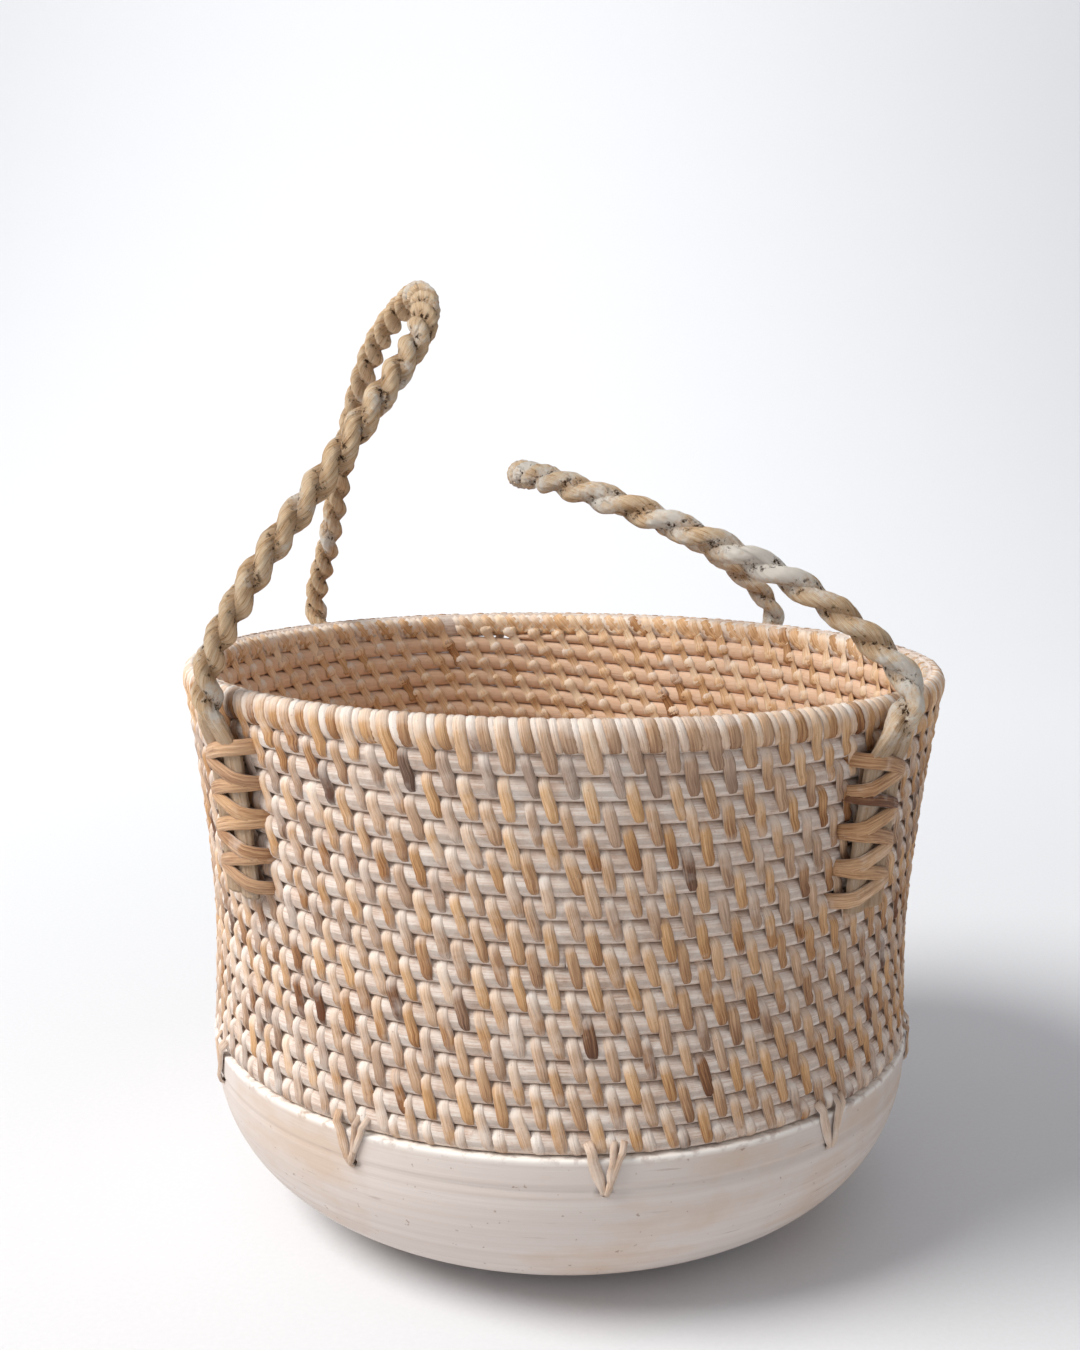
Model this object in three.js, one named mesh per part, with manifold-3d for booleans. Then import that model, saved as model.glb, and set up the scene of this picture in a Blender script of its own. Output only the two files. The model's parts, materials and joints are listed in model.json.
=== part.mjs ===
// A round coiled rattan basket on a turned wooden bowl base, with two stiff rope handles.
// Millimetres, +Z up, the basket's axis is Z and its flat foot stands on z = 0. The front is -Y.
import * as THREE from 'three';
import { mergeVertices } from 'three/addons/utils/BufferGeometryUtils.js';
import Module from 'manifold-3d';

const wasm = await Module();
wasm.setup();

// ---- Driving sizes -------------------------------------------------------------------------

// The gap between pieces that touch.
const GAP = 0.3;

// The turned bowl that the weave stands on.
const BOWL_HEIGHT = 87;
const BOWL_RADIUS = 178.5;
const FOOT_RADIUS = 88;
const BOWL_WALL = 12;
const BOWL_FLOOR = 14;
const BOWL_CURVE_STEPS = 8;
const BOWL_SEGMENTS = 60;

// The coiled wall. A row is one turn of rod with the cane that sews it to the row below.
const ROW_COUNT = 17;
const ROW_PITCH = 10.1;
const WALL_THICKNESS = 12;
const WAIST_RADIUS = 176.5;
const WAIST_HEIGHT = 56;
const RIM_RADIUS = 189;
const FLARE_POWER = 1.5;

// The rod is one long coil spliced from several lengths. It lies level for most of a turn and
// climbs one row along a short stretch at the back.
const ROD_COUNT = 6;
const STEPS_PER_TURN = 36;
const CLIMB_STEPS = 4;
const CLIMB_END_AZIMUTH = 110;

// The rim is a thicker rod under a skin of wrapped cane.
const RIM_HEIGHT = 14.2;
const CANE_THICKNESS = 1.4;
const RIM_WRAP_OPENING = 50;
const RIM_WRAP_STEPS = 8;
const RIM_SEGMENTS = 48;

// The rope handles, of two twisted strands.
const STRAND_RADIUS = 3.5;
const STRAND_OVERLAP = 0.4;
const ROPE_LAY = 32;
const ROPE_SIDES = 8;
const ROPE_STEPS = 136;
const HINGE_DROP = 11;

// Where each handle's two rope ends leave the wall, in degrees from +X towards +Y.
const LEFT_EXITS = [-141, 136.6];
const RIGHT_EXITS = [-44.9, 49.9];

// Each handle's route from its front exit to its back exit. A point gives how far it is along
// the line between the exits as a share of half that line, then how far in over the basket and
// how far up, in millimetres.
const LEFT_ROUTE = [
  [-1, 0, 0],
  [-1.02, 0, 18],
  [-1.12, 23, 59],
  [-1.035, 61, 114],
  [-0.74, 87, 162],
  [-0.265, 78, 184],
  [0.17, 49, 163],
  [0.505, 27, 116],
  [0.775, 10, 60],
  [0.99, -4, 18],
  [1, 0, 0],
];
const RIGHT_HALF_ROUTE = [
  [-1, 0, 0],
  [-0.995, -5, 14],
  [-0.925, 32, 51],
  [-0.785, 92, 81],
  [-0.49, 144, 99],
];
const RIGHT_ROUTE = mirroredRoute(RIGHT_HALF_ROUTE, [0, 155, 100]);

// The rope's ends, unlaid and bound flat against the wall.
const END_DROP = 12;
const END_LENGTH = 70;
const END_WIDTH = 26;
const END_THICKNESS = 6.5;
const STRANDS = 2;

// The cane that binds each rope end: a zigzag across its face that returns into the wall.
const LASH_LEGS = 8;
const LASH_WIDTH = 5;
const LASH_SIDE_CLEARANCE = 2.3;

// The cane ties that lace the lowest row to the bowl through drilled holes.
const TIE_COUNT = 10;
const TIE_FIRST_AZIMUTH = -84.5;
const TIE_HOLE_DROP = 14;
const TIE_HOLE_RADIUS = 2.4;
const TIE_SPREAD = 17;
const TIE_CANE_WIDTH = 4.5;
const TIE_RISE = 5;

// ---- Sizes that follow -----------------------------------------------------------------------

const ROPE_RADIUS = 2 * STRAND_RADIUS - STRAND_OVERLAP;
const ROWS_TOP = BOWL_HEIGHT + GAP + ROW_COUNT * ROW_PITCH;
const RIM_TOP = ROWS_TOP + RIM_HEIGHT;
const RIM_MIDDLE = ROWS_TOP + RIM_HEIGHT / 2;
const HINGE_HEIGHT = RIM_TOP - HINGE_DROP;
const EXIT_RADIUS = RIM_RADIUS + ROPE_RADIUS + 3 * GAP;
const END_TOP = HINGE_HEIGHT - END_DROP;
const TIE_HEIGHT = BOWL_HEIGHT - TIE_HOLE_DROP;

// ---- Materials -------------------------------------------------------------------------------

const WHITEWASHED_WOOD = material(0xe4d9cf, 0.75);
const WHITEWASHED_RATTAN = material(0xd9c7b0, 0.8);
const CANE = material(0xc8a57d, 0.6);
const ROPE = material(0xc3a076, 0.85);

function material(color, roughness) {
  return new THREE.MeshStandardMaterial({ color, roughness, metalness: 0 });
}

// ---- Helpers ---------------------------------------------------------------------------------

function radians(degrees) {
  return THREE.MathUtils.degToRad(degrees);
}

// The outside radius of the woven wall at a height: a slight waist, then a flare to the rim.
function wallRadius(height) {
  const waist = BOWL_HEIGHT + WAIST_HEIGHT;
  if (height < waist) {
    const share = (waist - height) / WAIST_HEIGHT;
    return WAIST_RADIUS + (BOWL_RADIUS - WAIST_RADIUS) * share ** 2;
  }
  const share = Math.min(1, (height - waist) / (RIM_MIDDLE - waist));
  return WAIST_RADIUS + (RIM_RADIUS - WAIST_RADIUS) * share ** FLARE_POWER;
}

// A bar of the given number of sides. The function place takes how far along the bar a point
// is, from 0 to 1, and its two places across the unit section, and gives where the point goes.
function bentBar(sides, steps, place) {
  const geometry = new THREE.CylinderGeometry(1, 1, 1, sides, steps, false, Math.PI / 2);
  const positions = geometry.attributes.position;
  for (let i = 0; i < positions.count; i += 1) {
    const along = positions.getY(i) + 0.5;
    const point = place(along, positions.getX(i), positions.getZ(i));
    positions.setXYZ(i, point.x, point.y, point.z);
  }
  return geometry;
}

// A closed outline of [radius, height] pairs turned about the basket's axis.
function turned(outline, segments) {
  const points = outline.map(([radius, height]) => new THREE.Vector2(radius, height));
  return new THREE.LatheGeometry(points, segments).rotateX(Math.PI / 2);
}

function toSolid(geometry) {
  const bare = geometry.index ? geometry.clone() : mergeVertices(geometry);
  bare.deleteAttribute('normal');
  bare.deleteAttribute('uv');
  const merged = mergeVertices(bare, 1e-4);
  return new wasm.Manifold(new wasm.Mesh({
    numProp: 3,
    vertProperties: new Float32Array(merged.attributes.position.array),
    triVerts: new Uint32Array(merged.index.array),
  }));
}

function toGeometry(solid) {
  const mesh = solid.getMesh();
  const geometry = new THREE.BufferGeometry();
  geometry.setAttribute('position', new THREE.BufferAttribute(mesh.vertProperties, 3));
  geometry.setIndex(new THREE.BufferAttribute(mesh.triVerts, 1));
  return geometry;
}

function joined(geometries) {
  return geometries.map(toSolid).reduce((whole, piece) => whole.add(piece));
}

function piece(name, geometry, finish) {
  const mesh = new THREE.Mesh(geometry, finish);
  mesh.name = name;
  return mesh;
}

// A group that stands on the wall: its X runs along the wall, its Y up and its Z outwards.
function wallGroup(azimuth, radius, height, tilt) {
  const turn = new THREE.Group();
  turn.rotation.z = radians(azimuth + 90);
  const stand = new THREE.Group();
  stand.position.set(0, -radius, height);
  stand.rotation.x = Math.PI / 2 + tilt;
  turn.add(stand);
  return { turn, stand };
}

// ---- Bowl ------------------------------------------------------------------------------------

// A quarter of an oval from the foot up to the edge, as [radius, height] pairs.
function bowlCurve(footRadius, edgeRadius, footHeight) {
  const curve = [];
  for (let i = 0; i <= BOWL_CURVE_STEPS; i += 1) {
    const angle = (Math.PI / 2) * (1 - i / BOWL_CURVE_STEPS);
    const radius = footRadius + (edgeRadius - footRadius) * Math.cos(angle);
    const drop = (BOWL_HEIGHT - footHeight) * Math.sin(angle) ** 0.8;
    curve.push([radius, BOWL_HEIGHT - drop]);
  }
  return curve;
}

function bowlGeometry() {
  const outside = bowlCurve(FOOT_RADIUS, BOWL_RADIUS, 0);
  const inside = bowlCurve(FOOT_RADIUS - BOWL_WALL / 2, BOWL_RADIUS - BOWL_WALL, BOWL_FLOOR);
  const outline = [[0, 0], ...outside, ...inside.reverse(), [0, BOWL_FLOOR]];
  let bowl = toSolid(turned(outline, BOWL_SEGMENTS));
  for (const azimuth of tieAzimuths()) {
    const drill = new THREE.CylinderGeometry(TIE_HOLE_RADIUS, TIE_HOLE_RADIUS, 4 * BOWL_WALL, 8);
    drill.rotateZ(Math.PI / 2);
    drill.translate(BOWL_RADIUS - BOWL_WALL / 2, 0, TIE_HEIGHT);
    drill.rotateZ(radians(azimuth));
    bowl = bowl.subtract(toSolid(drill));
  }
  return toGeometry(bowl);
}

function tieAzimuths() {
  const step = 360 / TIE_COUNT;
  return Array.from({ length: TIE_COUNT }, (_, i) => TIE_FIRST_AZIMUTH + i * step);
}

// A V of cane outside the bowl, with its point at the hole and a pin through the hole.
function bowlTie(name, azimuth) {
  const half = TIE_SPREAD / 2;
  const cane = TIE_CANE_WIDTH;
  const top = TIE_HOLE_DROP + TIE_RISE;
  const outline = [
    [-cane * 0.7, -cane * 0.7], [cane * 0.7, -cane * 0.7], [half + cane / 2, top],
    [half - cane / 2, top], [0, cane], [cane / 2 - half, top], [-half - cane / 2, top],
  ];
  const shape = new THREE.Shape(outline.map(([x, y]) => new THREE.Vector2(x, y)));
  const face = new THREE.ExtrudeGeometry(shape, { depth: CANE_THICKNESS, bevelEnabled: false });
  const pinRadius = TIE_HOLE_RADIUS - GAP - 0.2;
  const pin = new THREE.CylinderGeometry(pinRadius, pinRadius, BOWL_WALL, 8);
  pin.rotateX(Math.PI / 2);
  pin.translate(0, 0, CANE_THICKNESS / 2 - BOWL_WALL / 2);
  const outermost = Math.max(BOWL_RADIUS, wallRadius(BOWL_HEIGHT + TIE_RISE));
  const { turn, stand } = wallGroup(azimuth, outermost + GAP, TIE_HEIGHT, 0);
  stand.add(piece(name, toGeometry(joined([face, pin])), CANE));
  return turn;
}

// ---- Coiled wall -----------------------------------------------------------------------------

// How many rows up the coil lies after a number of turns.
function rowsClimbed(turns) {
  const climb = CLIMB_STEPS / STEPS_PER_TURN;
  const whole = Math.floor(turns);
  const share = Math.max(0, (turns - whole - (1 - climb)) / climb);
  return THREE.MathUtils.clamp(whole + share, 0, ROW_COUNT);
}

// One length of the coil. Its two ends, and the thin tips that level the wall's bottom and top
// rows, lie on the climbing stretch.
function coilRodGeometry(firstStep, lastStep) {
  const endGap = GAP / (2 * Math.PI * WAIST_RADIUS);
  const halfHex = Math.sqrt(3) / 2;
  return bentBar(6, lastStep - firstStep, (along, across, up) => {
    const step = Math.round(firstStep + along * (lastStep - firstStep));
    const turns = step / STEPS_PER_TURN - (step === lastStep ? endGap : 0);
    const low = BOWL_HEIGHT + GAP + rowsClimbed(turns) * ROW_PITCH;
    const high = BOWL_HEIGHT + rowsClimbed(turns + 1) * ROW_PITCH;
    const height = (low + high) / 2 + (up / halfHex) * (high - low) / 2;
    const middle = wallRadius((low + high) / 2) - WALL_THICKNESS / 2;
    const radius = middle + across * WALL_THICKNESS / 2;
    const angle = radians(CLIMB_END_AZIMUTH) + 2 * Math.PI * turns;
    return new THREE.Vector3(radius * Math.cos(angle), radius * Math.sin(angle), height);
  });
}

function coilRods() {
  const first = 1 - CLIMB_STEPS;
  const last = ROW_COUNT * STEPS_PER_TURN - 1;
  const cuts = Array.from({ length: ROD_COUNT + 1 }, (_, i) => (
    Math.round(first + (i / ROD_COUNT) * (last - first))
  ));
  return cuts.slice(1).map((cut, i) => (
    piece(`coil_rod_${i + 1}`, coilRodGeometry(cuts[i], cut), WHITEWASHED_RATTAN)
  ));
}

// ---- Rim -------------------------------------------------------------------------------------

// An oval over the rim, from its inside foot to its outside foot, open underneath.
function rimArch(halfWidth, halfHeight, steps) {
  const middle = RIM_RADIUS - WALL_THICKNESS / 2;
  const reach = radians(360 - RIM_WRAP_OPENING) / 2;
  return Array.from({ length: steps + 1 }, (_, i) => {
    const angle = Math.PI / 2 + reach - (2 * reach * i) / steps;
    return [middle + halfWidth * Math.cos(angle), RIM_MIDDLE + halfHeight * Math.sin(angle)];
  });
}

// The wrapped cane skin, open underneath where it is sewn through the row below.
function rimWrapGeometry() {
  const halfWidth = WALL_THICKNESS / 2;
  const halfHeight = RIM_HEIGHT / 2;
  const outside = rimArch(halfWidth, halfHeight, RIM_WRAP_STEPS);
  const inside = rimArch(halfWidth - CANE_THICKNESS, halfHeight - CANE_THICKNESS, RIM_WRAP_STEPS);
  return turned([outside[0], ...inside, ...outside.reverse()], RIM_SEGMENTS);
}

function rimRodGeometry() {
  const shrink = CANE_THICKNESS + 3 * GAP;
  const halfWidth = WALL_THICKNESS / 2 - shrink;
  const halfHeight = RIM_HEIGHT / 2 - shrink;
  const middle = RIM_RADIUS - WALL_THICKNESS / 2;
  const outline = Array.from({ length: 7 }, (_, i) => {
    const angle = (i / 6) * 2 * Math.PI;
    return [middle + halfWidth * Math.cos(angle), RIM_MIDDLE + halfHeight * Math.sin(angle)];
  });
  return turned(outline, RIM_SEGMENTS);
}

// ---- Handles ---------------------------------------------------------------------------------

function mirroredRoute(half, top) {
  const otherHalf = half.map(([along, inward, up]) => [-along, inward, up]).reverse();
  return [...half, top, ...otherHalf];
}

function exitPoint(azimuth) {
  const angle = radians(azimuth);
  return new THREE.Vector3(EXIT_RADIUS * Math.cos(angle), EXIT_RADIUS * Math.sin(angle), HINGE_HEIGHT);
}

function ropeCurve(exits, route) {
  const [front, back] = exits.map(exitPoint);
  const middle = front.clone().add(back).multiplyScalar(0.5);
  const halfSpan = back.clone().sub(middle);
  const up = new THREE.Vector3(0, 0, 1);
  const inward = halfSpan.clone().normalize().cross(up);
  if (inward.dot(middle) > 0) {
    inward.negate();
  }
  const points = route.map(([along, inMm, upMm]) => (
    middle.clone().addScaledVector(halfSpan, along).addScaledVector(inward, inMm).addScaledVector(up, upMm)
  ));
  return new THREE.CatmullRomCurve3(points, false, 'centripetal');
}

// How far the rope's surface is from its middle, at an angle round it from one strand.
function ropeReach(around) {
  const strandOffset = ROPE_RADIUS - STRAND_RADIUS;
  const beyond = Math.sqrt(STRAND_RADIUS ** 2 - (strandOffset * Math.sin(around)) ** 2);
  return strandOffset * Math.abs(Math.cos(around)) + beyond;
}

// A rope whose two strands wind round each other once in each lay.
function ropeGeometry(exits, route) {
  const curve = ropeCurve(exits, route);
  const turns = curve.getLength() / ROPE_LAY;
  const frames = curve.computeFrenetFrames(ROPE_STEPS, false);
  return bentBar(ROPE_SIDES, ROPE_STEPS, (along, across, up) => {
    const step = Math.round(along * ROPE_STEPS);
    const around = Math.atan2(up, across);
    const radius = Math.hypot(across, up) * ropeReach(around);
    const angle = -around - along * turns * 2 * Math.PI;
    return curve.getPointAt(along)
      .addScaledVector(frames.normals[step], radius * Math.cos(angle))
      .addScaledVector(frames.binormals[step], radius * Math.sin(angle));
  });
}

// ---- Rope ends -------------------------------------------------------------------------------

// The group that a rope end and its lashing share, standing on the sloping wall.
function ropeEndGroup(azimuth) {
  const topRadius = wallRadius(END_TOP);
  const bottomRadius = wallRadius(END_TOP - END_LENGTH);
  const tilt = Math.atan2(topRadius - bottomRadius, END_LENGTH);
  const radius = (topRadius + bottomRadius) / 2 + 2 * GAP;
  return wallGroup(azimuth, radius, END_TOP - END_LENGTH / 2, tilt);
}

// The strands side by side: flat against the wall, with a round crown on each strand.
function ropeEndGeometry() {
  const strand = END_WIDTH / STRANDS;
  const shape = new THREE.Shape();
  shape.moveTo(END_WIDTH / 2, 0);
  for (let i = 0; i < STRANDS; i += 1) {
    const right = END_WIDTH / 2 - i * strand;
    for (const [share, height] of [[0, 0.55], [0.25, 0.93], [0.5, 1], [0.75, 0.93]]) {
      shape.lineTo(right - share * strand, height * END_THICKNESS);
    }
  }
  shape.lineTo(-END_WIDTH / 2, 0.55 * END_THICKNESS);
  shape.lineTo(-END_WIDTH / 2, 0);
  const length = END_LENGTH - 2 * GAP;
  const geometry = new THREE.ExtrudeGeometry(shape, { depth: length, bevelEnabled: false });
  return geometry.translate(0, 0, -length / 2).rotateX(Math.PI / 2);
}

// The zigzag face and, at each of its corners, the short leg that returns towards the wall.
function lashingGeometry() {
  const halfWidth = END_WIDTH / 2 + LASH_SIDE_CLEARANCE;
  const legDrop = (END_LENGTH - LASH_WIDTH) / LASH_LEGS;
  const legLength = Math.hypot(2 * halfWidth, legDrop);
  const slope = Math.atan2(legDrop, 2 * halfWidth);
  const face = END_THICKNESS + GAP;
  const top = (LASH_LEGS * legDrop) / 2;
  const legs = [];
  for (let i = 0; i < LASH_LEGS; i += 1) {
    const leg = new THREE.BoxGeometry(legLength, LASH_WIDTH, CANE_THICKNESS);
    leg.rotateZ(i % 2 === 0 ? -slope : slope);
    leg.translate(0, top - (i + 0.5) * legDrop, face + CANE_THICKNESS / 2);
    legs.push(leg);
  }
  for (let i = 0; i <= LASH_LEGS; i += 1) {
    const side = i % 2 === 0 ? -1 : 1;
    const depth = face + CANE_THICKNESS / 2;
    const back = new THREE.BoxGeometry(CANE_THICKNESS, LASH_WIDTH * 0.9, depth);
    back.translate(side * (halfWidth - CANE_THICKNESS / 4), top - i * legDrop, depth / 2);
    legs.push(back);
  }
  return toGeometry(joined(legs));
}

function ropeEnd(place, azimuth) {
  const { turn, stand } = ropeEndGroup(azimuth);
  stand.add(piece(`rope_end_${place}`, ropeEndGeometry(), ROPE));
  stand.add(piece(`lashing_${place}`, lashingGeometry(), CANE));
  return turn;
}

// ---- The basket ------------------------------------------------------------------------------

const basket = new THREE.Group();
basket.add(piece('bowl_base', bowlGeometry(), WHITEWASHED_WOOD));
basket.add(...coilRods());
basket.add(piece('rim_rod', rimRodGeometry(), WHITEWASHED_RATTAN));
basket.add(piece('rim_wrap', rimWrapGeometry(), CANE));
basket.add(piece('handle_left', ropeGeometry(LEFT_EXITS, LEFT_ROUTE), ROPE));
basket.add(piece('handle_right', ropeGeometry(RIGHT_EXITS, RIGHT_ROUTE), ROPE));
for (const [side, exits] of [['left', LEFT_EXITS], ['right', RIGHT_EXITS]]) {
  basket.add(ropeEnd(`${side}_front`, exits[0]));
  basket.add(ropeEnd(`${side}_back`, exits[1]));
}
tieAzimuths().forEach((azimuth, i) => {
  basket.add(bowlTie(`bowl_tie_${String(i + 1).padStart(2, '0')}`, azimuth));
});

export default basket;
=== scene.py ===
"""A coiled rattan basket on a turned wooden bowl, with two rope handles.

Metres, +Z up, the basket's axis is Z and its foot stands on z = 0. The front is -Y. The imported
CAD model is the frame: its boxes give the sizes, and the pieces made here stand for its nodes.
"""

import json
import math

import bmesh
import bpy
import numpy as np
from mathutils import Matrix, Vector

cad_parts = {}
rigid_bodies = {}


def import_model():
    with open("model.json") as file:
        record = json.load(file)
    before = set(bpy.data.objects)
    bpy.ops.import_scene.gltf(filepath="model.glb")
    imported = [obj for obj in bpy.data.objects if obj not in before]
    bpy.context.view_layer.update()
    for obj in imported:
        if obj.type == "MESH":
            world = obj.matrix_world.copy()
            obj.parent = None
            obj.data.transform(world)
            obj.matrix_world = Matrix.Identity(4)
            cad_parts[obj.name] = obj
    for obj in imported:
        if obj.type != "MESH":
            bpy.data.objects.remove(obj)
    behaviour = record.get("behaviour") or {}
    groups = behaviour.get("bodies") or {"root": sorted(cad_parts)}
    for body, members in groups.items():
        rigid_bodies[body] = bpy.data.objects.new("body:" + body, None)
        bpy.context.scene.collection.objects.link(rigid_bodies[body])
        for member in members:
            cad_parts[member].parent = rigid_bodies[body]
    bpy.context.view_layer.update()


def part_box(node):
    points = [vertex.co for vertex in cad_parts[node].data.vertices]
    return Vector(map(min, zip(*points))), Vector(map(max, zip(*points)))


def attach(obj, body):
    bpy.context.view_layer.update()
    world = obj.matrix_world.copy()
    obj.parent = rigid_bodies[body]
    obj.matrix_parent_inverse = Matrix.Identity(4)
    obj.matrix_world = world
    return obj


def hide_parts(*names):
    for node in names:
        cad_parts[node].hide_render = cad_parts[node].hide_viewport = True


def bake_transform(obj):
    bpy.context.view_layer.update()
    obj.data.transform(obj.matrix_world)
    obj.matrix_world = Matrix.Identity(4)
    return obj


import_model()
RANDOM = np.random.default_rng(7)
MM = 0.001
GAP = 0.3 * MM
UP = np.array([0.0, 0.0, 1.0])

# ---- Sizes from the frame ----------------------------------------------------------------------

BOWL_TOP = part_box("bowl_base")[1].z
BOWL_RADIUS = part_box("bowl_base")[1].x
ROWS_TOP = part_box("coil_rod_6")[1].z
RIM_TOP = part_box("rim_wrap")[1].z
END_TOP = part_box("rope_end_left_front")[1].z
END_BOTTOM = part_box("rope_end_left_front")[0].z

# ---- Sizes of the real piece -------------------------------------------------------------------

FOOT_RADIUS = 88 * MM
BOWL_WALL = 12 * MM
BOWL_FLOOR = 14 * MM
BOWL_LIP = 1.1 * MM
# The lines turned round the outside: how far below the edge, and how deep.
TURNED_LINES = ((14 * MM, 0.7 * MM), (44.8 * MM, 0.3 * MM))
TURNED_LINE_WIDTH = 0.8 * MM

ROW_COUNT = 17
ROW_PITCH = (ROWS_TOP - BOWL_TOP) / ROW_COUNT
WALL_THICKNESS = 12 * MM
WAIST_RADIUS = 176.5 * MM
WAIST_HEIGHT = BOWL_TOP + 56 * MM
RIM_RADIUS = 189 * MM
RIM_MIDDLE = (ROWS_TOP + RIM_TOP) / 2
FLARE_POWER = 1.5
ROD_COUNT = 6
STEPS_PER_TURN = 36
CLIMB_SHARE = 4 / STEPS_PER_TURN
CLIMB_END = math.radians(110)

CANE_WIDTH = 5.0 * MM
CANE_THICKNESS = 1.3 * MM
ROD_RADIUS = WALL_THICKNESS / 2 - 1.2 * MM
STITCHES_PER_TURN = 71.52
STITCH_LEAN = math.tan(math.radians(15))
# How far the rim's strips begin before the stitches of the row under it, as a share of a stitch.
STRIP_OFFSET = 0.567
# The sewing is painted paler towards this side, where the light falls on it, by this much: painted light.
LIT_SIDE = math.radians(205)
SIDE_LIGHT_AMOUNT = 0.2

ROPE_RADIUS = 6.6 * MM
STRAND_RADIUS = 4.2 * MM
ROPE_LAY = {"left": 30 * MM, "right": 37 * MM}
EXIT_RADIUS = RIM_RADIUS + ROPE_RADIUS + 3 * GAP
HINGE_HEIGHT = RIM_TOP - 11 * MM
END_WIDTH = 26 * MM
END_THICKNESS = 6.5 * MM

LEFT_EXITS = (-141, 136.6)
RIGHT_EXITS = (-44.9, 49.9)

# Along the line between the exits as a share of half of it, then in and up in millimetres.
LEFT_ROUTE = [
    (-1, 0, 0),
    (-1.02, 0, 18),
    (-1.12, 23, 59),
    (-1.035, 61, 114),
    (-0.74, 87, 162),
    (-0.265, 78, 184),
    (0.17, 49, 163),
    (0.505, 27, 116),
    (0.775, 10, 60),
    (0.99, -4, 18),
    (1, 0, 0),
]
RIGHT_HALF_ROUTE = [
    (-1, 0, 0),
    (-0.995, -5, 14),
    (-0.925, 32, 51),
    (-0.785, 92, 81),
    (-0.49, 144, 99),
]
RIGHT_ROUTE = (
    RIGHT_HALF_ROUTE + [(0, 155, 100)] + [(-a, i, u) for a, i, u in RIGHT_HALF_ROUTE[::-1]]
)

LASH_LEGS = 8

TIE_COUNT = 10
TIE_FIRST_AZIMUTH = -84.5
TIE_HOLE_DROP = 14 * MM
TIE_HOLE_RADIUS = 2.4 * MM
TIE_SPREAD = 19 * MM


# ---- Shape helpers -----------------------------------------------------------------------------


def wall_radius(height):
    """Outside radius of the woven wall at a height: a slight waist, then a flare to the rim."""
    height = np.asarray(height, float)
    below = np.clip((WAIST_HEIGHT - height) / (WAIST_HEIGHT - BOWL_TOP), 0, None)
    above = np.clip((height - WAIST_HEIGHT) / (RIM_MIDDLE - WAIST_HEIGHT), 0, 1)
    flare = (RIM_RADIUS - WAIST_RADIUS) * above**FLARE_POWER
    return WAIST_RADIUS + (BOWL_RADIUS - WAIST_RADIUS) * below**2 + flare


def rows_climbed(turns):
    """How many rows up the coil lies after a number of turns; it climbs at the back."""
    whole = np.floor(turns)
    share = np.clip((turns - whole - (1 - CLIMB_SHARE)) / CLIMB_SHARE, 0, None)
    return np.clip(whole + share, 0, ROW_COUNT)


def row_height(turns):
    """Height of the rod's middle."""
    return BOWL_TOP + (rows_climbed(turns) + 0.5) * ROW_PITCH


def row_radius(turns):
    """Radius of the rod's middle."""
    return wall_radius(row_height(turns)) - WALL_THICKNESS / 2


def unit(vectors):
    return vectors / np.maximum(np.linalg.norm(vectors, axis=-1, keepdims=True), 1e-12)


def ring(radius, angle, height):
    """Points at a radius, angle and height about the basket's axis."""
    return np.stack(np.broadcast_arrays(radius * np.cos(angle), radius * np.sin(angle), height), -1)


def mesh_object(name, vertices, faces, attributes, uv, finish):
    """A smooth mesh with float attributes on its points and one UV pair for each point."""
    mesh = bpy.data.meshes.new(name)
    mesh.from_pydata([], [], [])
    mesh.vertices.add(len(vertices))
    mesh.vertices.foreach_set("co", np.asarray(vertices, np.float32).ravel())
    sizes = np.array([len(face) for face in faces], np.int32)
    loops = np.concatenate([np.asarray(face, np.int32) for face in faces])
    starts = np.concatenate([[0], np.cumsum(sizes)[:-1]]).astype(np.int32)
    mesh.loops.add(len(loops))
    mesh.loops.foreach_set("vertex_index", loops)
    mesh.polygons.add(len(sizes))
    mesh.polygons.foreach_set("loop_start", starts)
    mesh.polygons.foreach_set("loop_total", sizes)
    mesh.polygons.foreach_set("use_smooth", np.full(len(sizes), True))
    for key, values in attributes.items():
        layer = mesh.attributes.new(key, "FLOAT", "POINT")
        layer.data.foreach_set("value", np.asarray(values, np.float32).ravel())
    layer = mesh.uv_layers.new(name="UVMap")
    layer.data.foreach_set("uv", np.asarray(uv, np.float32)[loops].ravel())
    mesh.update(calc_edges=True)
    mesh.validate()
    mesh.materials.append(finish)
    piece = bpy.data.objects.new(name, mesh)
    bpy.context.scene.collection.objects.link(piece)
    return piece


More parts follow.
